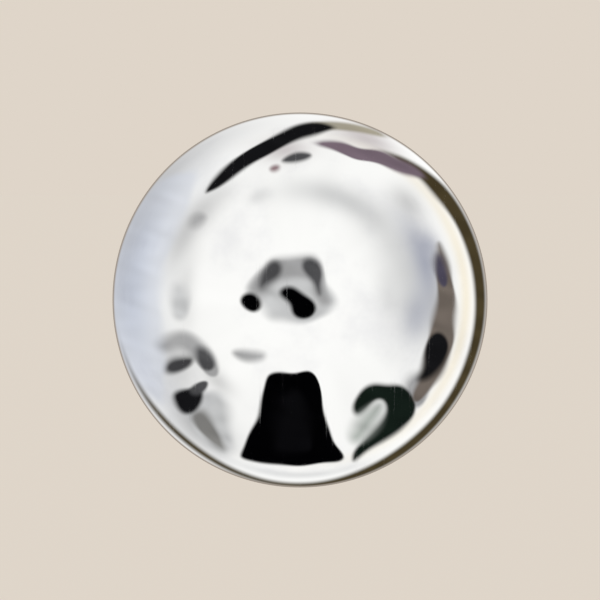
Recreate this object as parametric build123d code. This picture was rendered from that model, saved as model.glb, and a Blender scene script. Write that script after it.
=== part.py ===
from build123d import *
import math
import os

# A ball stud earring: a ball soldered to its post, and the butterfly back that grips the post.
#
# Frame, in millimetres: +Y runs along the post from the ball to the tip, and +Z is up as it is worn.
# The origin is on the post's axis at the back of the ball.
# Both pieces are drawn in section as (distance from the post's axis, place along Y) or the reverse,
# and then turned about the post or drawn out along X.

# Ball and post, one soldered piece
BALL_DIAMETER = 5.0
SOLDER_RADIUS = 0.25  # hollow curve of the solder between the ball and the post
POST_DIAMETER = 0.8
POST_LENGTH = 11.0  # from the back of the ball to the tip
NOTCH_FROM_TIP = 2.5  # middle of the notch that the back clicks into when it is pulled off
NOTCH_WIDTH = 0.6
NOTCH_DEPTH = 0.1
TIP_CONE_ANGLE = 30.0  # degrees from the post's axis
TIP_NOSE_RADIUS = 0.22  # round end that doesn't scratch

# Butterfly back, one stamped and rolled sheet
FREE_POST = 5.4  # between the back of the ball and the plate
SHEET_THICKNESS = 0.22
PLATE_DIAMETER = 3.8
TONGUE_WIDTH = 2.2  # the two tongues of the sheet that are rolled up against the post
TONGUE_CORNER_RADIUS = 0.25  # inside corner between the plate's rim and a tongue
OUTER_ROLL_RADIUS = 0.84  # to the middle of the sheet, as are the next two
INNER_ROLL_RADIUS = 0.68
END_ROLL_RADIUS = 0.47
INNER_ROLL_TURN = 110.0  # degrees
END_ROLL_TURN = 100.0  # degrees
DISH_DEPTH = 0.18  # the sheet is pressed back around its hole, which guides the post in
DISH_RIM = 0.5  # slope of the dish, measured out from the hole's edge

# Clearances
HOLE_CLEARANCE = 0.075  # around the post in the hole of the plate
GRIP_CLEARANCE = 0.03  # between the post and the roll that bears on it

BALL_RADIUS = BALL_DIAMETER / 2
POST_RADIUS = POST_DIAMETER / 2
HOLE_RADIUS = POST_RADIUS + HOLE_CLEARANCE
DISH_RADIUS = HOLE_RADIUS + DISH_RIM
HALF_SHEET = SHEET_THICKNESS / 2
ROLL_HEIGHT = POST_RADIUS + GRIP_CLEARANCE + HALF_SHEET + INNER_ROLL_RADIUS  # roll's centre above the post


def polar(centre, radius, degrees):
    """The point at that distance and angle from a centre."""
    angle = math.radians(degrees)
    return centre[0] + radius * math.cos(angle), centre[1] + radius * math.sin(angle)


def ball_and_post():
    """Ball, solder, notched post and coned tip, as one section turned about the post's axis.

    The section's first coordinate is the distance from the axis and its second is the place along Y.
    """
    ball_centre = (0, -BALL_RADIUS)

    # The solder's hollow curve touches the ball outside and the post outside, so its centre is known.
    solder_out = POST_RADIUS + SOLDER_RADIUS
    solder_reach = BALL_RADIUS + SOLDER_RADIUS
    solder_along = ball_centre[1] + math.sqrt(solder_reach**2 - solder_out**2)
    meets_ball = math.degrees(math.acos(solder_out / solder_reach))

    # The notch is a shallow arc, whose radius follows from its width and depth.
    notch_radius = (NOTCH_WIDTH**2 / 4 + NOTCH_DEPTH**2) / (2 * NOTCH_DEPTH)
    notch_half_turn = math.degrees(math.asin(NOTCH_WIDTH / 2 / notch_radius))
    notch_middle = POST_LENGTH - NOTCH_FROM_TIP
    notch_centre = (POST_RADIUS - NOTCH_DEPTH + notch_radius, notch_middle)

    # The tip's cone runs into a round nose, whose centre is on the axis.
    nose_centre = (0, POST_LENGTH - TIP_NOSE_RADIUS)
    cone_end = polar(nose_centre, TIP_NOSE_RADIUS, TIP_CONE_ANGLE)
    tip_start = cone_end[1] - (POST_RADIUS - cone_end[0]) / math.tan(math.radians(TIP_CONE_ANGLE))

    with BuildPart() as stud:
        with BuildSketch():
            with BuildLine():
                CenterArc(ball_centre, BALL_RADIUS, -90, 90 + meets_ball)
                CenterArc((solder_out, solder_along), SOLDER_RADIUS, 180 + meets_ball, -meets_ball)
                Line((POST_RADIUS, solder_along), (POST_RADIUS, notch_middle - NOTCH_WIDTH / 2))
                CenterArc(notch_centre, notch_radius, 180 + notch_half_turn, -2 * notch_half_turn)
                Line((POST_RADIUS, notch_middle + NOTCH_WIDTH / 2), (POST_RADIUS, tip_start))
                Line((POST_RADIUS, tip_start), cone_end)
                CenterArc(nose_centre, TIP_NOSE_RADIUS, TIP_CONE_ANGLE, 90 - TIP_CONE_ANGLE)
                Line((0, POST_LENGTH), (0, -BALL_DIAMETER))
            make_face()
        revolve(axis=Axis.Y)
    return stud.part


def rolled_tongue(plate_front):
    """The upper tongue past its outermost point: over the back, down beside the post and into its own end.

    The section is (place along Y, height above the post). Each arc starts where the one before it ends
    and in the same direction, so its centre lies on the line from the last centre to that end.
    """
    outer_centre = (plate_front + HALF_SHEET + OUTER_ROLL_RADIUS, ROLL_HEIGHT)
    inner_centre = polar(outer_centre, OUTER_ROLL_RADIUS - INNER_ROLL_RADIUS, 0)
    end_centre = polar(inner_centre, INNER_ROLL_RADIUS - END_ROLL_RADIUS, -INNER_ROLL_TURN)
    with BuildPart() as tongue:
        with BuildSketch(Plane.YZ):
            with BuildLine():
                CenterArc(outer_centre, OUTER_ROLL_RADIUS, 90, -90)
                CenterArc(inner_centre, INNER_ROLL_RADIUS, 0, -INNER_ROLL_TURN)
                CenterArc(end_centre, END_ROLL_RADIUS, -INNER_ROLL_TURN, -END_ROLL_TURN)
            trace(line_width=SHEET_THICKNESS)
        extrude(amount=TONGUE_WIDTH / 2, both=True)
    return tongue.part


def plate(plate_front):
    """The round plate with the first quarter turn of both tongues, cut to the stamped outline.

    The bent sheet is drawn out to the plate's full width, and the outline that the blank was stamped to
    is then kept, looking along the post.
    """
    sheet_middle = plate_front + HALF_SHEET
    roll_centre = (sheet_middle + OUTER_ROLL_RADIUS, ROLL_HEIGHT)
    roll_reach = ROLL_HEIGHT + OUTER_ROLL_RADIUS + HALF_SHEET
    with BuildPart() as bent:
        with BuildSketch(Plane.YZ):
            with BuildLine():
                Line((sheet_middle, 0), (sheet_middle, ROLL_HEIGHT))
                CenterArc(roll_centre, OUTER_ROLL_RADIUS, 180, -90)
                mirror(about=Plane.XZ)
            trace(line_width=SHEET_THICKNESS)
        extrude(amount=PLATE_DIAMETER / 2, both=True)
    with BuildPart() as outline:
        with BuildSketch(Plane.XZ):
            Circle(PLATE_DIAMETER / 2)
            Rectangle(TONGUE_WIDTH, 2 * roll_reach)
            inside_corners = [v for v in vertices() if abs(v.Y) < roll_reach - HALF_SHEET]
            fillet(inside_corners, TONGUE_CORNER_RADIUS)
            Circle(DISH_RADIUS, mode=Mode.SUBTRACT)
        extrude(amount=-(plate_front + OUTER_ROLL_RADIUS + SHEET_THICKNESS))
    return bent.part & outline.part


def dish(plate_front):
    """The sheet pressed back around the hole, as one section turned about the post's axis."""
    with BuildPart() as pressed:
        with BuildSketch():
            with BuildLine():
                Polyline(
                    (HOLE_RADIUS, plate_front + DISH_DEPTH),
                    (DISH_RADIUS, plate_front),
                    (DISH_RADIUS, plate_front + SHEET_THICKNESS),
                    (HOLE_RADIUS, plate_front + DISH_DEPTH + SHEET_THICKNESS),
                    close=True,
                )
            make_face()
        revolve(axis=Axis.Y)
    return pressed.part


def butterfly_back():
    """One sheet: a round plate with a dished hole, and two tongues rolled in to grip the post."""
    upper = rolled_tongue(FREE_POST)
    lower = mirror(upper, about=Plane.XY)
    return plate(FREE_POST) + dish(FREE_POST) + upper + lower


def main():
    os.makedirs("parts", exist_ok=True)
    pieces = {
        "ball_and_post": ball_and_post(),
        "butterfly_back": butterfly_back(),
    }
    for name, piece in pieces.items():
        export_step(piece, f"parts/{name}.step")


main()
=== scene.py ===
import math

import bmesh
import bpy
import numpy as np
from mathutils import Matrix


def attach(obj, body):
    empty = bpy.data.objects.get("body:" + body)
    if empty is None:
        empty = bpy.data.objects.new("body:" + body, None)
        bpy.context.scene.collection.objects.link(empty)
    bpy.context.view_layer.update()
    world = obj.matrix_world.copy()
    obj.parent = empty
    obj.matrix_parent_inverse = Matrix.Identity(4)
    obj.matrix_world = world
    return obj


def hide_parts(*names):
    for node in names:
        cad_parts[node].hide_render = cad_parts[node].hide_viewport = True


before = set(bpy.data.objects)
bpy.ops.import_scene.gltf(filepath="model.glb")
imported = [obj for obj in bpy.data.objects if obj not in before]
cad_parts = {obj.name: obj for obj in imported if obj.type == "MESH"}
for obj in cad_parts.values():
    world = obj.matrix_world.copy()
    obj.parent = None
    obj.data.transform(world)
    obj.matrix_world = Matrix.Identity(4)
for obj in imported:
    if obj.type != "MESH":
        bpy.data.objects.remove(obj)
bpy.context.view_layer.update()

# A ball stud earring: a polished ball soldered to a notched post, and the butterfly back that grips the
# post. +Y runs along the post from the ball to the tip, +Z is up, and the origin is the back of the ball.
# Lengths are in millimetres up to the point where they go into a mesh, a bump or the camera.

MM = 0.001

# Ball, solder and post
BALL_RADIUS = 2.5
SOLDER_RADIUS = 0.25
POST_RADIUS = 0.4
POST_LENGTH = 11.0  # from the back of the ball to the tip
NOTCH_FROM_TIP = 2.5  # to the notch's middle
NOTCH_WIDTH = 0.6
NOTCH_RUN_OUT = 1.3  # the notch's soft ends make it this much wider
NOTCH_DEPTH = 0.1
TIP_CONE_ANGLE = math.radians(30)
TIP_NOSE_RADIUS = 0.22
TIP_SHOULDER_RADIUS = 0.25  # the tumbled edge where the tip's cone begins

# Butterfly back
FREE_POST = 5.4  # between the back of the ball and the plate
SHEET_THICKNESS = 0.22
PLATE_RADIUS = 1.9
TONGUE_HALF_WIDTH = 1.1
TONGUE_CORNER_RADIUS = 0.25
TONGUE_END_RADIUS = 0.2
ROLL_RADII = (0.84, 0.68, 0.47)  # outer, inner and end roll, to the middle of the sheet
ROLL_TURNS = (math.radians(180), math.radians(110), math.radians(100))
HOLE_CLEARANCE = 0.075
GRIP_CLEARANCE = 0.03  # between the post and the inner roll
DISH_RIM = 0.5  # slope of the dish, measured out from the hole's edge
DISH_DEPTH = 0.18
EDGE_ROUNDING = 0.045

PLATE_MIDDLE = FREE_POST + SHEET_THICKNESS / 2
HOLE_RADIUS = POST_RADIUS + HOLE_CLEARANCE
DISH_RADIUS = HOLE_RADIUS + DISH_RIM
# From the post's axis to where a tongue starts to roll
FLAT_LENGTH = POST_RADIUS + GRIP_CLEARANCE + SHEET_THICKNESS / 2 + ROLL_RADII[1]

# Points along each stretch, enough for a mirror to show no flats
AROUND_POINTS = 256
BALL_POINTS = 230
SOLDER_POINTS = 16
SHAFT_POINTS = 30
NOTCH_POINTS = 41
SHOULDER_POINTS = 9
NOSE_POINTS = 18
SHEET_COLUMNS = 44
PLATE_RINGS = 25
BELOW_CORNER_ROWS = 7
CORNER_ROWS = 11
TONGUE_ROWS = 110
TONGUE_END_ROWS = 9
ROLL_STEPS = 6000  # of the running sum that rolls the sheet
TENT_ROWS = 250
TENT_REAR_ROWS = 13
TENT_COLUMNS = 900
STRIPE_STEPS = 120
STRIPE_ROUNDING = 6  # steps to either side that round its corners
OUTLINE_STEP = 0.008  # ball radii
OUTLINE_ROUNDING = 4

# Camera and studio
BALL_CENTRE = np.array([0.0, -BALL_RADIUS, 0.0])
CAMERA_AZIMUTH = math.radians(0)
CAMERA_ELEVATION = math.radians(1)
CAMERA_DISTANCE = 200.0
SENSOR_WIDTH = 36.0
FRAME_WIDTH = 8.0  # of the picture, at the ball
TENT_RADIUS = 200.0
TENT_EVEN_OUT = 0.99  # the tent's rows are even as far out as this in the ball's picture, in ball radii
FLOOR_LEVEL = -30.0
FLOOR_REACH = 3000.0
FLOOR_TONE = "#EAE3DA"
PAPER_TONE = "#DFD5C9"  # the floor once it is lit, which the camera sees past its edge too
ROOM_TONE = "#EFEBE6"
ROOM_STRENGTH = 0.85
KEY_STRENGTH = 0.6
KEY_SPREAD = math.radians(40)
KEY_TURN = (math.radians(-25), math.radians(-20), 0)
STEEL_MIRRORS = 0.85  # share of the light that polished steel gives back


# Shapes


def grid_quads(rows, columns, wraps):
    """Quads of a grid of points kept row by row: each point with the next in its row and the two above.

    A grid that wraps joins its last column to its first.
    """
    index = np.arange(rows * columns).reshape(rows, columns)
    if wraps:
        index = np.hstack([index, index[:, :1]])
    corners = [index[:-1, :-1], index[:-1, 1:], index[1:, 1:], index[1:, :-1]]
    return np.stack(corners, axis=-1).reshape(-1, 4)


def mesh_object(name, points, faces, merge=False, blank=None):
    """A shaded-smooth object of these points, in millimetres, with its normals turned outwards.

    Places on a flat blank, where they are given, are kept as a point attribute in millimetres.
    """
    mesh = bpy.data.meshes.new(name)
    mesh.from_pydata((points * MM).tolist(), [], faces)
    if blank is not None:
        kept = mesh.attributes.new("blank", "FLOAT_VECTOR", "POINT")
        kept.data.foreach_set("vector", np.column_stack([blank, np.zeros(len(blank))]).ravel())
    worked = bmesh.new()
    worked.from_mesh(mesh)
    if merge:
        bmesh.ops.remove_doubles(worked, verts=worked.verts, dist=1e-4 * MM)
    bmesh.ops.recalc_face_normals(worked, faces=worked.faces)
    worked.to_mesh(mesh)
    worked.free()
    mesh.polygons.foreach_set("use_smooth", np.ones(len(mesh.polygons), dtype=bool))
    made = bpy.data.objects.new(name, mesh)
    bpy.context.scene.collection.objects.link(made)
    return made


def arc(centre, radius, start, end, count):
    """Points on a circle: centre plus radius times (cosine, sine) of angles evenly spaced to the end."""
    angle = np.linspace(start, end, count)
    return np.stack([centre[0] + radius * np.cos(angle), centre[1] + radius * np.sin(angle)], axis=-1)


def stud_profile():
    """The stud's outline as (distance from the axis, place along it), and where each finish begins.

    The ball is an arc about its centre. The solder is a hollow arc that touches ball and post, so its centre
    is a ball radius plus its own radius from the ball's centre. The notch is the post's radius less a raised
    cosine of its depth. The tip is a rounded shoulder, a cone and a nose, each tangent to the next.
    """
    solder_out = POST_RADIUS + SOLDER_RADIUS
    solder_reach = BALL_RADIUS + SOLDER_RADIUS
    solder_along = -BALL_RADIUS + math.sqrt(solder_reach**2 - solder_out**2)
    meets_ball = math.acos(solder_out / solder_reach)
    ball = arc((0, -BALL_RADIUS), BALL_RADIUS, -math.pi / 2, meets_ball, BALL_POINTS)[1:]
    solder_centre = (solder_out, solder_along)
    solder = arc(solder_centre, SOLDER_RADIUS, math.pi + meets_ball, math.pi, SOLDER_POINTS)[1:]

    swing = np.linspace(-1, 1, NOTCH_POINTS)
    notch_along = POST_LENGTH - NOTCH_FROM_TIP + swing * NOTCH_RUN_OUT * NOTCH_WIDTH / 2
    notch_out = POST_RADIUS - NOTCH_DEPTH * (1 + np.cos(math.pi * swing)) / 2
    notch = np.stack([notch_out, notch_along], axis=-1)
    shaft_along = np.linspace(solder_along, notch_along[0], SHAFT_POINTS)[1:-1]
    shaft = np.stack([np.full_like(shaft_along, POST_RADIUS), shaft_along], axis=-1)

    nose_along = POST_LENGTH - TIP_NOSE_RADIUS
    cone_out = TIP_NOSE_RADIUS * math.cos(TIP_CONE_ANGLE)
    cone_end = nose_along + TIP_NOSE_RADIUS * math.sin(TIP_CONE_ANGLE)
    cone_start = cone_end - (POST_RADIUS - cone_out) / math.tan(TIP_CONE_ANGLE)
    shoulder_along = cone_start - TIP_SHOULDER_RADIUS * math.tan(TIP_CONE_ANGLE / 2)
    shoulder_centre = (POST_RADIUS - TIP_SHOULDER_RADIUS, shoulder_along)
    shoulder = arc(shoulder_centre, TIP_SHOULDER_RADIUS, 0, TIP_CONE_ANGLE, SHOULDER_POINTS)
    nose = arc((0, nose_along), TIP_NOSE_RADIUS, TIP_CONE_ANGLE, math.pi / 2, NOSE_POINTS)[:-1]

    outline = np.concatenate([ball, solder, shaft, notch, shoulder, nose])
    return outline, len(ball), len(ball) + len(solder)


def turned_stud():
    """Ball, solder and post as one closed skin, the outline turned about the post's axis.

    A point at (distance, along) and turn t is (distance sin t, along, distance cos t). The two ends are
    single points on the axis, each joined to the nearest ring by a fan.
    """
    around = AROUND_POINTS
    outline, solder_row, post_row = stud_profile()
    rows = len(outline)
    turn = np.linspace(0, 2 * math.pi, around, endpoint=False)
    rings = np.stack([
        outline[:, :1] * np.sin(turn),
        np.repeat(outline[:, 1:], around, axis=1),
        outline[:, :1] * np.cos(turn),
    ], axis=-1).reshape(-1, 3)
    ends = np.array([[0, -2 * BALL_RADIUS, 0], [0, POST_LENGTH, 0]])
    points = np.concatenate([rings, ends])

    first = np.arange(around)
    last = first + (rows - 1) * around
    front = np.stack([np.full(around, rows * around), np.roll(first, -1), first], axis=-1)
    tip = np.stack([np.full(around, rows * around + 1), last, np.roll(last, -1)], axis=-1)
    walls = grid_quads(rows, around, wraps=True)
    stud = mesh_object("polished_ball_on_post", points, walls.tolist() + front.tolist() + tip.tolist())

    polished, soldered, drawn = range(3)
    wall_row = np.repeat(np.arange(rows - 1), around)
    past_ball = np.where(wall_row < post_row - 1, soldered, drawn)
    wall_finish = np.where(wall_row < solder_row - 1, polished, past_ball)
    finish = np.concatenate([wall_finish, np.full(around, polished), np.full(around, drawn)])
    stud.data.polygons.foreach_set("material_index", finish.astype(np.int32))
    return stud


def blank_places():
    """Where the blank's inside corner begins and ends along it, and where a tongue ends.

    The corner's arc touches the plate's circle from outside and the tongue's side, so its centre is both
    radii from the hole's middle. It meets the circle at the circle's share of that distance.
    """
    reach = PLATE_RADIUS + TONGUE_CORNER_RADIUS
    corner_end = math.sqrt(reach**2 - (TONGUE_HALF_WIDTH + TONGUE_CORNER_RADIUS) ** 2)
    end = FLAT_LENGTH + sum(radius * turn for radius, turn in zip(ROLL_RADII, ROLL_TURNS))
    return corner_end * PLATE_RADIUS / reach, corner_end, end


def blank_half_width(along):
    """Half the stamped blank's width at a distance along it from the hole.

    It is the plate's circle as far as the inside corner's arc, then that arc, then the tongue's straight
    side, and at last the tongue's rounded end corner. Each is a circle's or a line's own equation.
    """
    corner_start, corner_end, end = blank_places()
    along = np.abs(along)
    plate = np.sqrt(np.maximum(PLATE_RADIUS**2 - along**2, 0))
    into_corner = np.sqrt(np.maximum(TONGUE_CORNER_RADIUS**2 - (along - corner_end) ** 2, 0))
    corner = TONGUE_HALF_WIDTH + TONGUE_CORNER_RADIUS - into_corner
    past = np.maximum(along - (end - TONGUE_END_RADIUS), 0)
    side = TONGUE_HALF_WIDTH - TONGUE_END_RADIUS + np.sqrt(np.maximum(TONGUE_END_RADIUS**2 - past**2, 0))
    return np.where(along < corner_start, plate, np.where(along < corner_end, corner, side))


def bent_sheet(across, along):
    """Where a point of the flat blank lies once the plate is dished and the tongues are rolled.

    The sheet's direction turns by length over the roll's radius, and its place is the running sum of its
    direction. The dish moves a point back by a cosine step of its distance from the hole's middle.
    """
    lengths = [FLAT_LENGTH] + [radius * turn for radius, turn in zip(ROLL_RADII, ROLL_TURNS)]
    ends = np.cumsum(lengths)
    fine, step = np.linspace(0, ends[-1], ROLL_STEPS + 1, retstep=True)
    curvatures = np.array([0] + [1 / radius for radius in ROLL_RADII])
    direction = np.cumsum(curvatures[np.searchsorted(ends[:-1], fine, side="right")]) * step
    halfway = (direction[1:] + direction[:-1]) / 2
    back = np.concatenate([[0], np.cumsum(np.sin(halfway))]) * step
    up = np.concatenate([[0], np.cumsum(np.cos(halfway))]) * step

    from_hole = np.hypot(across, along)
    slope = np.clip((DISH_RADIUS - from_hole) / (DISH_RADIUS - HOLE_RADIUS), 0, 1)
    dish = DISH_DEPTH * (1 - np.cos(math.pi * slope)) / 2
    y = PLATE_MIDDLE + np.interp(np.abs(along), fine, back) + dish
    z = np.sign(along) * np.interp(np.abs(along), fine, up)
    return np.stack([across, y, z], axis=-1)


def flat_blank():
    """The flat part of the blank, as rings of (across, along) round the hole, with its faces.

    Each ring is the same share of the way from the hole's circle to the edge of the flat part.
    """
    share = np.linspace(-1, 1, SHEET_COLUMNS + 1)
    top = np.stack([share * blank_half_width(FLAT_LENGTH), np.full_like(share, FLAT_LENGTH)], axis=-1)
    side_along = np.linspace(FLAT_LENGTH, -FLAT_LENGTH, SHEET_COLUMNS + 1)[1:-1]
    side = np.stack([blank_half_width(side_along), side_along], axis=-1)
    edge = np.concatenate([top, side, -top, -side])
    hole = HOLE_RADIUS * edge / np.linalg.norm(edge, axis=1, keepdims=True)
    ring_share = np.linspace(0, 1, PLATE_RINGS)[:, None, None]
    rings = hole * (1 - ring_share) + edge * ring_share
    return rings.reshape(-1, 2), grid_quads(PLATE_RINGS, len(edge), wraps=True)


def tongue_blank():
    """One tongue of the blank as a grid of (across, along), with its faces.

    It has even shares of its width in rows along it, which are closer where its width changes.
    """
    corner_start, corner_end, end = blank_places()
    rows = np.concatenate([
        np.linspace(FLAT_LENGTH, corner_start, BELOW_CORNER_ROWS)[:-1],
        np.linspace(corner_start, corner_end, CORNER_ROWS)[:-1],
        np.linspace(corner_end, end - TONGUE_END_RADIUS, TONGUE_ROWS)[:-1],
        end - TONGUE_END_RADIUS * (1 - np.sin(np.linspace(0, math.pi / 2, TONGUE_END_ROWS))),
    ])
    across = np.linspace(-1, 1, SHEET_COLUMNS + 1) * blank_half_width(rows)[:, None]
    along = np.repeat(rows[:, None], SHEET_COLUMNS + 1, axis=1)
    grid = np.stack([across, along], axis=-1)
    return grid.reshape(-1, 2), grid_quads(len(rows), SHEET_COLUMNS + 1, wraps=False)


def butterfly_back():
    """The stamped, dished and rolled sheet, worked out on the flat blank and then bent.

    The lower tongue is the upper one turned half round the hole.
    """
    flat, flat_faces = flat_blank()
    tongue, tongue_faces = tongue_blank()
    blank = np.concatenate([flat, tongue, -tongue])
    upper_faces = tongue_faces + len(flat)
    faces = np.concatenate([flat_faces, upper_faces, upper_faces + len(tongue)])
    bent = bent_sheet(blank[:, 0], blank[:, 1])
    back = mesh_object("butterfly_back_sheet", bent, faces.tolist(), merge=True, blank=blank)

    thick = back.modifiers.new("sheet thickness", "SOLIDIFY")
    thick.thickness = SHEET_THICKNESS * MM
    thick.offset = 0
    thick.use_even_offset = True
    thick.material_offset_rim = 1
    rounded = back.modifiers.new("tumbled edges", "BEVEL")
    rounded.width = EDGE_ROUNDING * MM
    rounded.segments = 3
    rounded.limit_method = "ANGLE"
    rounded.angle_limit = math.radians(50)
    rounded.harden_normals = True
    return back


# Finishes


def linear(code):
    """The linear colour of an sRGB hex code: each channel through the sRGB curve."""
    channels = np.array([int(code[i:i + 2], 16) for i in (1, 3, 5)]) / 255
    curved = np.where(channels <= 0.04045, channels / 12.92, ((channels + 0.055) / 1.055) ** 2.4)
    return (*curved.tolist(), 1.0)


def add(tree, kind, inputs=None, **settings):
    """Adds a shader node with its own settings, and gives each input a value or a link.

    Inputs go by name, or by number where a name repeats. A link comes from a socket, or from the first output
    of a node.
    """
    made = tree.nodes.new("ShaderNode" + kind)
    for name, value in settings.items():
        setattr(made, name, value)
    for name, value in (inputs or {}).items():
        if isinstance(value, bpy.types.Node):
            value = value.outputs[0]
        if isinstance(value, bpy.types.NodeSocket):
            tree.links.new(value, made.inputs[name])
        else:
            made.inputs[name].default_value = value
    return made


def empty_material(name):
    """A material and its emptied node tree."""
    made = bpy.data.materials.new(name)
    made.use_nodes = True
    made.node_tree.nodes.clear()
    return made, made.node_tree


def place_in_millimetres(tree):
    """The place on the piece in its own frame, in millimetres."""
    place = add(tree, "TexCoord").outputs["Object"]
    return add(tree, "VectorMath", {0: place, "Scale": 1 / MM}, operation="SCALE")


def mirror_polished_steel():
    """316L stainless steel, turned, ground and buffed to a mirror.

    Buffing leaves a clean reflection that is bent a little where the wheel pressed, a faint haze in patches
    about 1 mm across, and hairlines a few thousandths of a millimetre wide. The hairlines are drawn 0.02 mm
    wide, half their noise's grain, because finer ones don't show.
    """
    made, tree = empty_material("mirror_polished_steel")
    in_mm = place_in_millimetres(tree)
    haze_size, press_size = 1.1, 1.25
    grain_width, grain_length = 0.04, 2.0
    press_depth, line_depth = 0.004, 0.000016
    clean_rough, haze_adds, line_adds = 0.018, 0.035, 0.07

    haze = add(tree, "TexNoise", {"Vector": in_mm, "Scale": 1 / haze_size, "Detail": 4.0, "Roughness": 0.6})
    haze_share = add(tree, "MapRange", {
        "Value": haze, "From Min": 0.45, "From Max": 0.75, "To Min": 0.0, "To Max": 1.0,
    }, interpolation_type="SMOOTHSTEP")

    lines = 0.0
    drawn_out = (1 / grain_width, 1 / grain_length, 1 / grain_length)
    for turn in ((0.3, 0.5, 0.2), (1.2, 0.1, 0.9), (0.2, 1.3, 2.2)):
        turned = add(tree, "Mapping", {"Vector": in_mm, "Rotation": turn, "Scale": drawn_out})
        grain = add(tree, "TexNoise", {"Vector": turned, "Scale": 1.0, "Detail": 1.0})
        line = add(tree, "MapRange", {
            "Value": grain, "From Min": 0.66, "From Max": 0.74, "To Min": 0.0, "To Max": 1.0,
        })
        lines = add(tree, "Math", {0: lines, 1: line}, operation="MAXIMUM")

    hazy = add(tree, "Math", {0: haze_share, 1: haze_adds, 2: clean_rough}, operation="MULTIPLY_ADD")
    rough = add(tree, "Math", {0: lines, 1: line_adds, 2: hazy}, operation="MULTIPLY_ADD")

    press = add(tree, "TexNoise", {"Vector": in_mm, "Scale": 1 / press_size, "Detail": 1.5, "Roughness": 0.4})
    height = add(tree, "Math", {0: lines, 1: -line_depth / press_depth, 2: press}, operation="MULTIPLY_ADD")
    bumped = add(tree, "Bump", {"Strength": 1.0, "Distance": press_depth * MM, "Height": height})

    colour = add(tree, "Mix", {0: haze_share, 6: linear("#EDEDEC"), 7: linear("#E2E2E3")}, data_type="RGBA")
    shader = add(tree, "BsdfPrincipled", {
        "Base Color": colour.outputs[2], "Metallic": 1.0, "Roughness": rough, "Normal": bumped,
    })
    add(tree, "OutputMaterial", {"Surface": shader})
    return made


def silver_solder():
    """Silver solder, flowed into a fillet and brushed over: a little warmer and softer than the steel."""
    made, tree = empty_material("silver_solder")
    in_mm = place_in_millimetres(tree)
    flow_size, flow_depth = 0.4, 0.0005

    flow = add(tree, "TexNoise", {"Vector": in_mm, "Scale": 1 / flow_size, "Detail": 2.0})
    rough = add(tree, "MapRange", {
        "Value": flow, "From Min": 0.3, "From Max": 0.7, "To Min": 0.14, "To Max": 0.26,
    })
    bumped = add(tree, "Bump", {"Strength": 1.0, "Distance": flow_depth * MM, "Height": flow})
    shader = add(tree, "BsdfPrincipled", {
        "Base Color": linear("#E3DFD4"), "Metallic": 1.0, "Roughness": rough, "Normal": bumped,
    })
    add(tree, "OutputMaterial", {"Surface": shader})
    return made


def drawn_steel_wire():
    """Stainless wire drawn through a die: bright, with fine lines along it.

    Drawing lines are about 0.005 mm apart and are drawn 0.03 mm apart so that they show.
    """
    made, tree = empty_material("drawn_steel_wire")
    in_mm = place_in_millimetres(tree)
    line_spacing, line_length, line_depth = 0.03, 3.0, 0.0012

    drawn_out = (1 / line_spacing, 1 / line_length, 1 / line_spacing)
    along = add(tree, "Mapping", {"Vector": in_mm, "Scale": drawn_out})
    drawing = add(tree, "TexNoise", {"Vector": along, "Scale": 1.0, "Detail": 2.0})
    rough = add(tree, "MapRange", {
        "Value": drawing, "From Min": 0.3, "From Max": 0.7, "To Min": 0.10, "To Max": 0.24,
    })
    bumped = add(tree, "Bump", {"Strength": 1.0, "Distance": line_depth * MM, "Height": drawing})
    shader = add(tree, "BsdfPrincipled", {
        "Base Color": linear("#CDCCC9"), "Metallic": 1.0, "Roughness": rough, "Normal": bumped,
    })
    add(tree, "OutputMaterial", {"Surface": shader})
    return made


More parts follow.
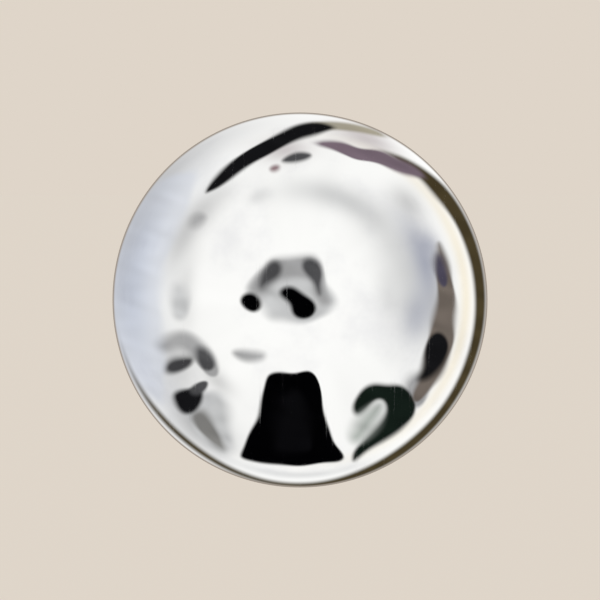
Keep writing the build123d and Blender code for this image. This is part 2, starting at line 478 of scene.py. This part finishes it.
def tumbled_spring_sheet():
    """Stainless spring strip, rolled bright at the mill, stamped, rolled up and tumbled with steel shot.

    The mill leaves fine lines and faint streaks 0.15 mm apart along the strip, which turn with it round the
    rolls. The shot leaves shallow dents 0.25 mm apart and a soft gloss that is duller in patches. Mill lines
    are about 0.005 mm apart and are drawn 0.03 mm apart so that they show.
    """
    made, tree = empty_material("tumbled_spring_sheet")
    in_mm = place_in_millimetres(tree)
    on_blank = add(tree, "Attribute", attribute_name="blank").outputs["Vector"]
    line_spacing, line_length, line_depth = 0.03, 2.0, 0.0004
    streak_spacing, streak_length = 0.15, 3.0
    patch_size, dent_spacing, dent_depth = 0.6, 0.25, 0.0016
    line_adds = 0.08

    fine = add(tree, "Mapping", {"Vector": on_blank, "Scale": (1 / line_spacing, 1 / line_length, 1.0)})
    mill = add(tree, "TexNoise", {"Vector": fine, "Scale": 1.0, "Detail": 2.0, "Roughness": 0.6})
    wide = add(tree, "Mapping", {"Vector": on_blank, "Scale": (1 / streak_spacing, 1 / streak_length, 1.0)})
    streak = add(tree, "TexNoise", {"Vector": wide, "Scale": 1.0, "Detail": 3.0})
    cloud = add(tree, "TexNoise", {"Vector": in_mm, "Scale": 1 / patch_size, "Detail": 4.0})
    dents = add(tree, "TexVoronoi", {
        "Vector": in_mm, "Scale": 1 / dent_spacing, "Smoothness": 1.0,
    }, feature="SMOOTH_F1")

    duller = add(tree, "MapRange", {
        "Value": cloud, "From Min": 0.35, "From Max": 0.65, "To Min": 0.07, "To Max": 0.20,
    })
    rough = add(tree, "Math", {0: mill, 1: line_adds, 2: duller}, operation="MULTIPLY_ADD")
    height = add(tree, "Math", {0: mill, 1: line_depth / dent_depth, 2: dents}, operation="MULTIPLY_ADD")
    bumped = add(tree, "Bump", {"Strength": 1.0, "Distance": dent_depth * MM, "Height": height})

    stain = add(tree, "Math", {0: cloud, 1: streak}, operation="ADD")
    stain_share = add(tree, "MapRange", {
        "Value": stain, "From Min": 0.8, "From Max": 1.2, "To Min": 0.0, "To Max": 1.0,
    })
    colour = add(tree, "Mix", {0: stain_share, 6: linear("#DBDAD7"), 7: linear("#B9B7B3")}, data_type="RGBA")
    shader = add(tree, "BsdfPrincipled", {
        "Base Color": colour.outputs[2], "Metallic": 1.0, "Roughness": rough, "Normal": bumped,
    })
    add(tree, "OutputMaterial", {"Surface": shader})
    return made


def sheared_edge():
    """The strip's cut edge, sheared by the press and softened by tumbling: duller and darker than the face.

    Shear marks are about 0.01 mm apart along the edge and are drawn 0.09 mm apart so that they show.
    """
    made, tree = empty_material("sheared_edge")
    in_mm = place_in_millimetres(tree)
    mark_spacing, mark_length, mark_depth = 0.09, 0.5, 0.001

    drawn_out = (1 / mark_length, 1 / mark_spacing, 1 / mark_spacing)
    across = add(tree, "Mapping", {"Vector": in_mm, "Scale": drawn_out})
    shear = add(tree, "TexNoise", {"Vector": across, "Scale": 1.0, "Detail": 2.0})
    rough = add(tree, "MapRange", {
        "Value": shear, "From Min": 0.3, "From Max": 0.7, "To Min": 0.20, "To Max": 0.34,
    })
    bumped = add(tree, "Bump", {"Strength": 1.0, "Distance": mark_depth * MM, "Height": shear})
    shader = add(tree, "BsdfPrincipled", {
        "Base Color": linear("#B9B8B5"), "Metallic": 1.0, "Roughness": rough, "Normal": bumped,
    })
    add(tree, "OutputMaterial", {"Surface": shader})
    return made


# Tent

WHITE_CLOTH = "#FDFDFC"
CREAM = "#F8EFDB"
PALE_BLUE = "#C1C8D8"
PALE_GREY = "#C4C5C6"
BLUE_GREY = "#9499AC"
MID_GREY = "#A3A3A4"
MAUVE = "#8A7478"
WARM_GREY = "#6E655E"
SLATE = "#7F7E7C"
CHARCOAL = "#4C4C4E"
DARK_GREY = "#3E3E40"
DUSK = "#4A4656"
ASH_MAUVE = "#746570"
KHAKI = "#8A8268"
SAGE = "#A2A8A3"
OLIVE = "#453C28"
GREEN_BLACK = "#141D18"
SOFT_BLACK = "#151517"
DEEP_BLACK = "#0A0A0C"
BLACK = "#020203"
# Painted shade at the ball's very rim, where the tent's rear shows
PAINTED_RIM_SHADE = "#968C82"

# The three tables place things where they show in the ball: to the right and up in ball radii, or as an
# angle in degrees anticlockwise from the right and a distance from the middle in ball radii.

# Painted soft shades on the cloth: tone, share, angle, half its spread, distance, half its spread
CLOTH_SHADES = [
    # Painted shade where the right wall turns away from the lamps, and a painted cream band at its rim
    (PALE_GREY, 0.75, 12, 34, 0.60, 0.14),
    (BLUE_GREY, 0.75, 16, 22, 0.69, 0.07),
    (MID_GREY, 0.50, -4, 14, 0.74, 0.06),
    (BLUE_GREY, 0.50, 23, 6, 0.75, 0.05),
    (BLUE_GREY, 0.50, -8, 12, 0.62, 0.07),
    (PALE_GREY, 0.30, 5, 14, 0.47, 0.06),
    (CREAM, 0.85, 0, 62, 0.88, 0.03),
    # Painted shade where the roof sags
    (PALE_GREY, 0.80, 66, 30, 0.58, 0.07),
    (MID_GREY, 0.45, 42, 8, 0.77, 0.06),
    (PALE_GREY, 0.45, 112, 6, 0.59, 0.04),
    (MAUVE, 0.45, 96, 10, 0.80, 0.06),
    (MAUVE, 0.50, 68, 12, 0.93, 0.06),
    # Painted shade where the left wall is slack
    (PALE_BLUE, 0.85, 174, 40, 0.91, 0.15),
    (MID_GREY, 0.75, 150, 46, 0.98, 0.10),
    (MID_GREY, 0.60, 146, 24, 0.70, 0.07),
    (MID_GREY, 0.35, 176, 16, 0.61, 0.05),
    (MID_GREY, 0.50, -152, 13, 0.74, 0.11),
    (MID_GREY, 0.50, -135, 9, 0.61, 0.05),
    (MID_GREY, 0.75, -129, 14, 0.86, 0.10),
    (PALE_GREY, 0.55, -90, 22, 0.93, 0.02),
]

# Painted reflections and shades on the cloth, as gaps, flaps and folds: tone, softness of the edge, closed
# outline
PAINTED_REFLECTION_SHAPES = [
    # A painted reflection: the lens opening's hood, its two darker sides, the opening and the knob beside it
    (PALE_GREY, 0.040, [
        (-0.28, 0.04), (-0.21, 0.14), (-0.15, 0.18), (0.0, 0.18), (0.10, 0.16), (0.14, 0.08), (0.21, -0.01),
        (0.15, -0.08), (0.03, -0.12), (-0.08, -0.105), (-0.16, -0.10), (-0.19, -0.04), (-0.22, -0.01)]),
    (MID_GREY, 0.030, [
        (-0.28, 0.04), (-0.21, 0.16), (-0.16, 0.225), (-0.11, 0.235), (0.0, 0.23), (0.08, 0.24),
        (0.12, 0.205), (0.135, 0.12), (0.14, 0.03), (0.18, -0.02), (0.12, -0.05), (0.085, -0.01),
        (0.085, 0.06), (0.05, 0.11), (-0.02, 0.12), (-0.10, 0.11), (-0.16, 0.07), (-0.20, 0.0)]),
    (CHARCOAL, 0.026, [
        (-0.165, 0.21), (-0.12, 0.225), (-0.09, 0.19), (-0.10, 0.125), (-0.15, 0.10), (-0.205, 0.05),
        (-0.215, 0.09), (-0.19, 0.16)]),
    (CHARCOAL, 0.026, [
        (0.01, 0.215), (0.06, 0.225), (0.105, 0.20), (0.12, 0.14), (0.11, 0.08), (0.12, 0.01),
        (0.10, 0.03), (0.085, 0.09), (0.04, 0.13), (0.005, 0.16)]),
    (BLACK, 0.014, [
        (-0.115, 0.045), (-0.08, 0.08), (-0.02, 0.075), (0.02, 0.035), (0.07, 0.015), (0.095, -0.04),
        (0.06, -0.095), (-0.02, -0.095), (-0.055, -0.06), (-0.04, -0.015), (-0.085, 0.005)]),
    (BLACK, 0.014, [
        (-0.325, -0.01), (-0.30, 0.035), (-0.235, 0.045), (-0.20, 0.01), (-0.195, -0.04), (-0.235, -0.07),
        (-0.285, -0.055)]),
    # A painted reflection of the open front below it, and painted shade for the depth inside
    (BLACK, 0.010, [
        (-0.185, -0.385), (-0.10, -0.365), (-0.03, -0.385), (0.05, -0.365), (0.09, -0.40), (0.12, -0.52),
        (0.15, -0.66), (0.18, -0.76), (0.25, -0.835), (0.22, -0.862), (0.0, -0.877), (-0.15, -0.87),
        (-0.335, -0.84), (-0.29, -0.76), (-0.22, -0.62), (-0.195, -0.50)]),
    (DEEP_BLACK, 0.060, [
        (-0.09, -0.50), (-0.02, -0.46), (0.03, -0.52), (0.06, -0.66), (0.07, -0.80), (-0.13, -0.80),
        (-0.12, -0.64)]),
    # Painted shade: the slack cloth between the front and the right wall, the loose flap there and its inside
    (MID_GREY, 0.040, [
        (0.55, -0.43), (0.61, -0.37), (0.68, -0.40), (0.70, -0.47), (0.66, -0.55), (0.61, -0.58),
        (0.57, -0.52)]),
    (GREEN_BLACK, 0.018, [
        (0.285, -0.61), (0.275, -0.56), (0.305, -0.50), (0.345, -0.455), (0.40, -0.435), (0.46, -0.455),
        (0.54, -0.44), (0.59, -0.48), (0.62, -0.55), (0.61, -0.62), (0.54, -0.69), (0.45, -0.75),
        (0.37, -0.80), (0.27, -0.875), (0.28, -0.81), (0.34, -0.74), (0.39, -0.69), (0.45, -0.63),
        (0.465, -0.57), (0.44, -0.525), (0.41, -0.52), (0.375, -0.55), (0.345, -0.60), (0.31, -0.625)]),
    (SAGE, 0.045, [
        (0.33, -0.61), (0.38, -0.56), (0.43, -0.53), (0.45, -0.58), (0.40, -0.68), (0.31, -0.77),
        (0.25, -0.74)]),
    # Painted shade of the gap along the right wall's edge, black and dusky where it opens
    (WARM_GREY, 0.028, [
        (0.73, 0.33), (0.76, 0.27), (0.80, 0.17), (0.825, 0.06), (0.83, -0.06), (0.815, -0.18),
        (0.79, -0.30), (0.745, -0.40), (0.68, -0.49), (0.62, -0.55), (0.59, -0.52), (0.62, -0.44),
        (0.64, -0.36), (0.655, -0.27), (0.68, -0.16), (0.72, -0.04), (0.735, 0.08), (0.72, 0.20)]),
    (SOFT_BLACK, 0.034, [
        (0.715, -0.15), (0.765, -0.18), (0.785, -0.25), (0.765, -0.33), (0.715, -0.39), (0.65, -0.43),
        (0.605, -0.41), (0.64, -0.37), (0.655, -0.28), (0.665, -0.20)]),
    (DUSK, 0.034, [
        (0.71, 0.25), (0.74, 0.26), (0.78, 0.17), (0.795, 0.08), (0.76, 0.06), (0.73, 0.13),
        (0.705, 0.19)]),
    # Painted shade of the fold that hangs from the zip's opening at the left
    (PALE_GREY, 0.045, [
        (-0.62, -0.57), (-0.53, -0.50), (-0.43, -0.48), (-0.38, -0.53), (-0.37, -0.64), (-0.35, -0.75),
        (-0.38, -0.83), (-0.47, -0.80), (-0.55, -0.71)]),
    (SLATE, 0.040, [
        (-0.58, -0.61), (-0.51, -0.58), (-0.45, -0.66), (-0.41, -0.74), (-0.39, -0.81), (-0.44, -0.79),
        (-0.53, -0.70)]),
    (SOFT_BLACK, 0.020, [
        (-0.685, -0.50), (-0.62, -0.475), (-0.53, -0.465), (-0.50, -0.49), (-0.515, -0.55), (-0.55, -0.61),
        (-0.61, -0.615), (-0.655, -0.57)]),
    (CHARCOAL, 0.024, [
        (-0.60, -0.485), (-0.53, -0.43), (-0.47, -0.43), (-0.49, -0.49), (-0.54, -0.52)]),
    # Painted shade of the flap that arches over the zip, darker where it turns under
    (MID_GREY, 0.034, [
        (-0.77, -0.24), (-0.73, -0.19), (-0.64, -0.16), (-0.56, -0.19), (-0.49, -0.25), (-0.44, -0.33),
        (-0.43, -0.42), (-0.48, -0.42), (-0.54, -0.35), (-0.60, -0.28), (-0.66, -0.26), (-0.73, -0.28)]),
    (CHARCOAL, 0.034, [
        (-0.56, -0.25), (-0.50, -0.25), (-0.455, -0.31), (-0.45, -0.375), (-0.505, -0.39), (-0.55, -0.335)]),
    (DARK_GREY, 0.034, [
        (-0.735, -0.36), (-0.70, -0.305), (-0.64, -0.31), (-0.56, -0.30), (-0.57, -0.35), (-0.64, -0.39),
        (-0.70, -0.40)]),
    # Painted shade of tucks in the left wall and in the front
    (PALE_GREY, 0.035, [
        (-0.67, -0.10), (-0.60, -0.11), (-0.57, -0.02), (-0.60, 0.06), (-0.65, 0.10), (-0.68, 0.02)]),
    (MID_GREY, 0.028, [
        (-0.60, 0.385), (-0.58, 0.44), (-0.53, 0.465), (-0.49, 0.44), (-0.52, 0.40), (-0.56, 0.37)]),
    (MID_GREY, 0.022, [
        (-0.37, -0.27), (-0.28, -0.26), (-0.18, -0.275), (-0.19, -0.315), (-0.29, -0.325), (-0.36, -0.30)]),
    # Painted dark marks of the clips along the roof's seam
    (CHARCOAL, 0.016, [
        (-0.11, 0.74), (-0.03, 0.785), (0.07, 0.785), (0.08, 0.765), (0.0, 0.73), (-0.07, 0.725)]),
    (MAUVE, 0.016, [
        (-0.17, 0.70), (-0.13, 0.73), (-0.09, 0.725), (-0.09, 0.69), (-0.14, 0.675)]),
]

# Painted stripes of shade: tone, share, softness of the edge, rows of angle, distance and half width
CLOTH_STRIPES = [
    # Painted bluish shade of the left wall's panel
    (PALE_BLUE, 0.35, 0.030, [
        (128, 0.86, 0.0), (138, 0.88, 0.10), (150, 0.87, 0.125), (170, 0.87, 0.135), (190, 0.87, 0.13),
        (205, 0.89, 0.10), (218, 0.91, 0.0)]),
    # A painted shadow at the ball's rim, drawn as the hem round the rear
    (OLIVE, 1.0, 0.018, [
        (-178, 0.985, 0.0), (-150, 0.970, 0.012), (-130, 0.955, 0.016), (-110, 0.978, 0.014),
        (-90, 0.990, 0.014), (-74, 0.980, 0.018), (-60, 0.968, 0.028), (-40, 0.964, 0.024),
        (-10, 0.961, 0.030), (20, 0.956, 0.034), (34, 0.948, 0.038), (43, 0.94, 0.044),
        (49, 0.93, 0.032), (55, 0.92, 0.0), (67, 0.89, 0.0)]),
    # Painted dark arcs over the roof, drawn as its hoops and seams
    (ASH_MAUVE, 1.0, 0.018, [
        (43, 0.935, 0.0), (49, 0.905, 0.030), (55, 0.880, 0.034), (61, 0.863, 0.038), (68, 0.830, 0.032),
        (74, 0.830, 0.030), (80, 0.838, 0.020), (87, 0.84, 0.0)]),
    (KHAKI, 0.8, 0.014, [
        (60, 0.985, 0.0), (66, 0.975, 0.016), (74, 0.955, 0.022), (82, 0.935, 0.024), (90, 0.93, 0.0)]),
    (SOFT_BLACK, 1.0, 0.016, [
        (78, 0.935, 0.0), (84, 0.916, 0.036), (90, 0.893, 0.045), (97, 0.857, 0.040), (104, 0.820, 0.038),
        (111, 0.791, 0.040), (117, 0.774, 0.037), (123, 0.762, 0.032), (128, 0.755, 0.022),
        (132, 0.750, 0.0)]),
]

# Painted shade of fine folds all round: how many, radians that they twist over a ball radius, where
# they start, strength
CLOTH_FOLDS = [(7, 3, 1.0, 1.0), (13, 5, 0.0, 0.7), (23, 0, 2.0, 0.5)]
FOLD_DEPTH = 0.03  # share of the light that a fold takes
MOTTLE = 0.08  # how unevenly dark things are lit
BLUR_MEAN = 0.85  # what an edge's softness is multiplied by, and how far that swings along it
BLUR_SWING = 0.6
# The rest are in ball radii: how far edges wander from their outline, slowly and in ripples, and from where
# to where the folds grow, the folds and bent edges die out, and the painted rim shade covers the cloth
EDGE_WANDER = 0.006
EDGE_RIPPLE = 0.003
FOLDS_GROW = (0.15, 0.65)
FRONT_ENDS = (0.86, 0.94)
RIM_SHADE_SPAN = (0.984, 0.996)


def view_axes():
    """Unit vectors from the ball to the camera, to the picture's right and to its top."""
    back = np.array([
        math.sin(CAMERA_AZIMUTH) * math.cos(CAMERA_ELEVATION),
        -math.cos(CAMERA_AZIMUTH) * math.cos(CAMERA_ELEVATION),
        math.sin(CAMERA_ELEVATION),
    ])
    right = np.array([math.cos(CAMERA_AZIMUTH), math.sin(CAMERA_AZIMUTH), 0.0])
    return back, right, np.cross(back, right)


def smooth_step(value, start, end):
    """0 up to the start, 1 from the end on, and between them three squares less two cubes of the share."""
    share = np.clip((value - start) / (end - start), 0, 1)
    return share * share * (3 - 2 * share)


def wave(seen, right, up, start):
    """A sine that begins at the start and runs by these radians over a ball radius to the right and up."""
    return np.sin(right * seen[:, 0] + up * seen[:, 1] + start)


def averaged(values, reach, closed):
    """Each value averaged with its neighbours as far as the reach; open ends count more than once."""
    near = np.arange(len(values))[:, None] + np.arange(-reach, reach + 1)
    near = near % len(values) if closed else np.clip(near, 0, len(values) - 1)
    return values[near].mean(axis=1)


def stripe_cover(seen, rows, soft):
    """How much a curved stripe covers each place.

    Its distance from the middle and half its width run in straight shares between the rows' angles and are
    then averaged with their neighbours. Its edges fade over the softness at each place.
    """
    angles, distances, halves = np.array(rows).T
    angle = (np.degrees(np.arctan2(seen[:, 1], seen[:, 0])) - angles[0]) % 360 + angles[0]
    even = np.linspace(angles[0], angles[-1], STRIPE_STEPS + 1)
    even_distances = averaged(np.interp(even, angles, distances), STRIPE_ROUNDING, closed=False)
    even_halves = averaged(np.interp(even, angles, halves), STRIPE_ROUNDING, closed=False)
    half = np.interp(angle, even, even_halves, right=0.0)
    inwards = half - np.abs(np.hypot(seen[:, 0], seen[:, 1]) - np.interp(angle, even, even_distances))
    return smooth_step(inwards, -soft, soft) * smooth_step(half, 0, soft)


def outline_cover(seen, outline, soft):
    """How much a closed outline covers each place: a smooth step of the distance in from its nearest edge.

    The corners are rounded first, by averaging points set evenly along the outline with their neighbours,
    twice. A place is inside where a line to its right crosses the outline an odd number of times. The edge
    fades over the softness at each place.
    """
    corners = np.array(outline + outline[:1])
    along = np.concatenate([[0], np.cumsum(np.linalg.norm(np.diff(corners, axis=0), axis=1))])
    even = np.linspace(0, along[-1], int(along[-1] / OUTLINE_STEP), endpoint=False)
    rim = np.stack([np.interp(even, along, corners[:, axis]) for axis in (0, 1)], axis=-1)
    for _ in range(2):
        rim = averaged(rim, OUTLINE_ROUNDING, closed=True)

    reach = soft.max()
    near = np.all((seen > rim.min(axis=0) - reach) & (seen < rim.max(axis=0) + reach), axis=1)
    place = seen[near][:, None]
    run = np.roll(rim, -1, axis=0) - rim
    share = np.clip(((place - rim) * run).sum(axis=-1) / (run**2).sum(axis=-1), 0, 1)
    gap = np.linalg.norm(place - rim - share[..., None] * run, axis=-1).min(axis=1)
    above = rim[:, 1] > place[..., 1]
    crosses = above != np.roll(above, -1, axis=1)
    rise = np.where(run[:, 1] == 0, 1e-9, run[:, 1])  # level runs cross nothing, but can't divide by 0
    crossing = rim[:, 0] + run[:, 0] * (place[..., 1] - rim[:, 1]) / rise
    inside = (crosses & (crossing > place[..., 0])).sum(axis=1) % 2 == 1
    cover = np.zeros(len(seen))
    cover[near] = smooth_step(np.where(inside, gap, -gap), -soft[near], soft[near])
    return cover


def laid_over(cloth, code, cover, lit=1.0):
    """The cloth's colours with a tone laid over them by its cover at each place, and lit by that much."""
    tone = np.outer(lit, linear(code)[:3])
    return cloth + cover[:, None] * (tone - cloth)


def painted_reflections(seen):
    """The tent's colour where it shows in the ball, a painted reflection: white cloth, then painted shades,
    folds, openings and stripes.

    A shade's share falls off as a bell curve of angle and distance. Painted fold shade is sines of the angle.
    It and the waves that bend the edges die out before the tent's rear, where a painted rim shade covers the
    cloth. A slow wave makes some stretches of an edge crisp and others soft. Each colour is divided by what
    the polished steel mirrors, so that it shows as given.
    """
    out = np.hypot(seen[:, 0], seen[:, 1])
    angle = np.degrees(np.arctan2(seen[:, 1], seen[:, 0]))
    front = 1 - smooth_step(out, *FRONT_ENDS)
    wander = np.stack([wave(seen, 0, 9, 1.0), wave(seen, 8, 0, 2.5)], axis=-1)
    ripple = np.stack([wave(seen, 6, 31, 0), wave(seen, 27, -9, 0)], axis=-1)
    bent = seen + front[:, None] * (EDGE_WANDER * wander + EDGE_RIPPLE * ripple)
    lit = 1 + MOTTLE * wave(seen, 17, 11, 2 * ripple[:, 0]) * (1 + ripple[:, 1] / 2)
    blur = BLUR_MEAN + BLUR_SWING * wave(seen, 6.3, 9.1, 2.1) * wave(seen, 4, -11, 2.27) * front

    cloth = np.tile(linear(WHITE_CLOTH)[:3], (len(seen), 1))
    for tone, share, middle, spread, distance, depth in CLOTH_SHADES:
        turned = (angle - middle + 180) % 360 - 180
        bell = np.exp(-((turned / spread) ** 2) - ((out - distance) / depth) ** 2)
        cloth = laid_over(cloth, tone, share * bell)
    folds = sum(
        strength * (1 + np.sin(count * np.radians(angle) + twist * out + start))
        for count, twist, start, strength in CLOTH_FOLDS
    ) / sum(strength for *_, strength in CLOTH_FOLDS)
    cloth = cloth * (1 - FOLD_DEPTH * folds * smooth_step(out, *FOLDS_GROW) * front)[:, None]
    for tone, soft, outline in PAINTED_REFLECTION_SHAPES:
        cloth = laid_over(cloth, tone, outline_cover(bent, outline, soft * blur), lit)
    for tone, share, soft, rows in CLOTH_STRIPES:
        cloth = laid_over(cloth, tone, share * stripe_cover(bent, rows, soft * blur), lit)
    # Painted shade at the rim, where the tent's rear shows
    cloth = laid_over(cloth, PAINTED_RIM_SHADE, smooth_step(out, *RIM_SHADE_SPAN))
    return cloth / STEEL_MIRRORS


def tent():
    """A glowing white cloth ball all round the stud, with its reflections and shades painted on, seen only
    where metal mirrors it.

    It is a grid about the line to the camera. A ball mirrors a direction where its normal is halfway from the
    camera to that direction, so it shows at the sine of half the angle between them. The rows are even in
    that picture, and the columns are even round it.
    """
    back, right, up = view_axes()
    front = 2 * np.arcsin(np.linspace(0, TENT_EVEN_OUT, TENT_ROWS))
    rear = np.linspace(front[-1], math.pi, TENT_REAR_ROWS + 1)[1:]
    tilt = np.concatenate([front, rear])[:, None, None]
    turn = np.linspace(0, 2 * math.pi, TENT_COLUMNS, endpoint=False)[None, :, None]
    toward = np.cos(tilt) * back + np.sin(tilt) * (np.cos(turn) * right + np.sin(turn) * up)
    points = BALL_CENTRE + TENT_RADIUS * toward.reshape(-1, 3)
    faces = grid_quads(TENT_ROWS + TENT_REAR_ROWS, TENT_COLUMNS, wraps=True)
    made = mesh_object("light_tent", points, faces.tolist())

    seen = np.sin(tilt / 2) * np.concatenate([np.cos(turn), np.sin(turn)], axis=-1)
    cloth = painted_reflections(seen.reshape(-1, 2))
    # The painted reflections and shades go in as the tent's glow
    colours = made.data.color_attributes.new("cloth", "FLOAT_COLOR", "POINT")
    colours.data.foreach_set("color", np.column_stack([cloth, np.ones(len(cloth))]).ravel())
    material, tree = empty_material("tent_painted_reflections")
    material.cycles.emission_sampling = "NONE"
    tint = add(tree, "Attribute", attribute_name="cloth")
    light = add(tree, "Emission", {"Color": tint.outputs["Color"], "Strength": 1.0})
    add(tree, "OutputMaterial", {"Surface": light})
    made.data.materials.append(material)
    made.visible_camera = False
    made.visible_diffuse = False
    made.visible_shadow = False


# Studio


def paper_floor():
    """A wide sheet of matt pale paper, which the metal doesn't mirror."""
    corners = np.array([[-1, -1], [1, -1], [1, 1], [-1, 1]]) * FLOOR_REACH
    floor = mesh_object("floor", np.column_stack([corners, np.full(4, FLOOR_LEVEL)]), [[0, 1, 2, 3]])
    material, tree = empty_material("matt_pale_paper")
    shader = add(tree, "BsdfDiffuse", {"Color": linear(FLOOR_TONE)})
    add(tree, "OutputMaterial", {"Surface": shader})
    floor.data.materials.append(material)
    floor.visible_glossy = False


def room():
    """Even light from all round, which the camera sees in the floor's own tone."""
    world = bpy.data.worlds.new("studio")
    bpy.context.scene.world = world
    world.use_nodes = True
    tree = world.node_tree
    tree.nodes.clear()
    light = add(tree, "Background", {"Color": linear(ROOM_TONE), "Strength": ROOM_STRENGTH})
    paper = add(tree, "Background", {"Color": linear(PAPER_TONE), "Strength": 1.0})
    seen = add(tree, "LightPath").outputs["Is Camera Ray"]
    mixed = add(tree, "MixShader", {0: seen, 1: light, 2: paper})
    add(tree, "OutputWorld", {"Surface": mixed})


def soft_key():
    """A wide soft light from above, which the metal doesn't mirror."""
    light = bpy.data.lights.new("soft_key", "SUN")
    light.energy = KEY_STRENGTH
    light.angle = KEY_SPREAD
    made = bpy.data.objects.new("soft_key", light)
    made.rotation_euler = KEY_TURN
    made.visible_glossy = False
    bpy.context.scene.collection.objects.link(made)


def camera():
    """A long lens at the picture's angle, aimed at the ball's centre, that shows colours as they are."""
    data = bpy.data.cameras.new("camera")
    data.sensor_width = SENSOR_WIDTH
    data.lens = SENSOR_WIDTH * CAMERA_DISTANCE / FRAME_WIDTH
    data.clip_start = CAMERA_DISTANCE * MM / 20
    data.clip_end = CAMERA_DISTANCE * MM * 50
    made = bpy.data.objects.new("camera", data)
    back, right, up = view_axes()
    pose = np.eye(4)
    pose[:3] = np.column_stack([right, up, back, (BALL_CENTRE + CAMERA_DISTANCE * back) * MM])
    made.matrix_world = Matrix(pose.tolist())
    bpy.context.scene.collection.objects.link(made)
    bpy.context.scene.camera = made
    bpy.context.scene.view_settings.view_transform = "Standard"


stud = turned_stud()
for material in (mirror_polished_steel(), silver_solder(), drawn_steel_wire()):
    stud.data.materials.append(material)
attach(stud, "root")
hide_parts("ball_and_post")

back_sheet = butterfly_back()
for material in (tumbled_spring_sheet(), sheared_edge()):
    back_sheet.data.materials.append(material)
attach(back_sheet, "root")
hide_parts("butterfly_back")

paper_floor()
room()
soft_key()
tent()
camera()
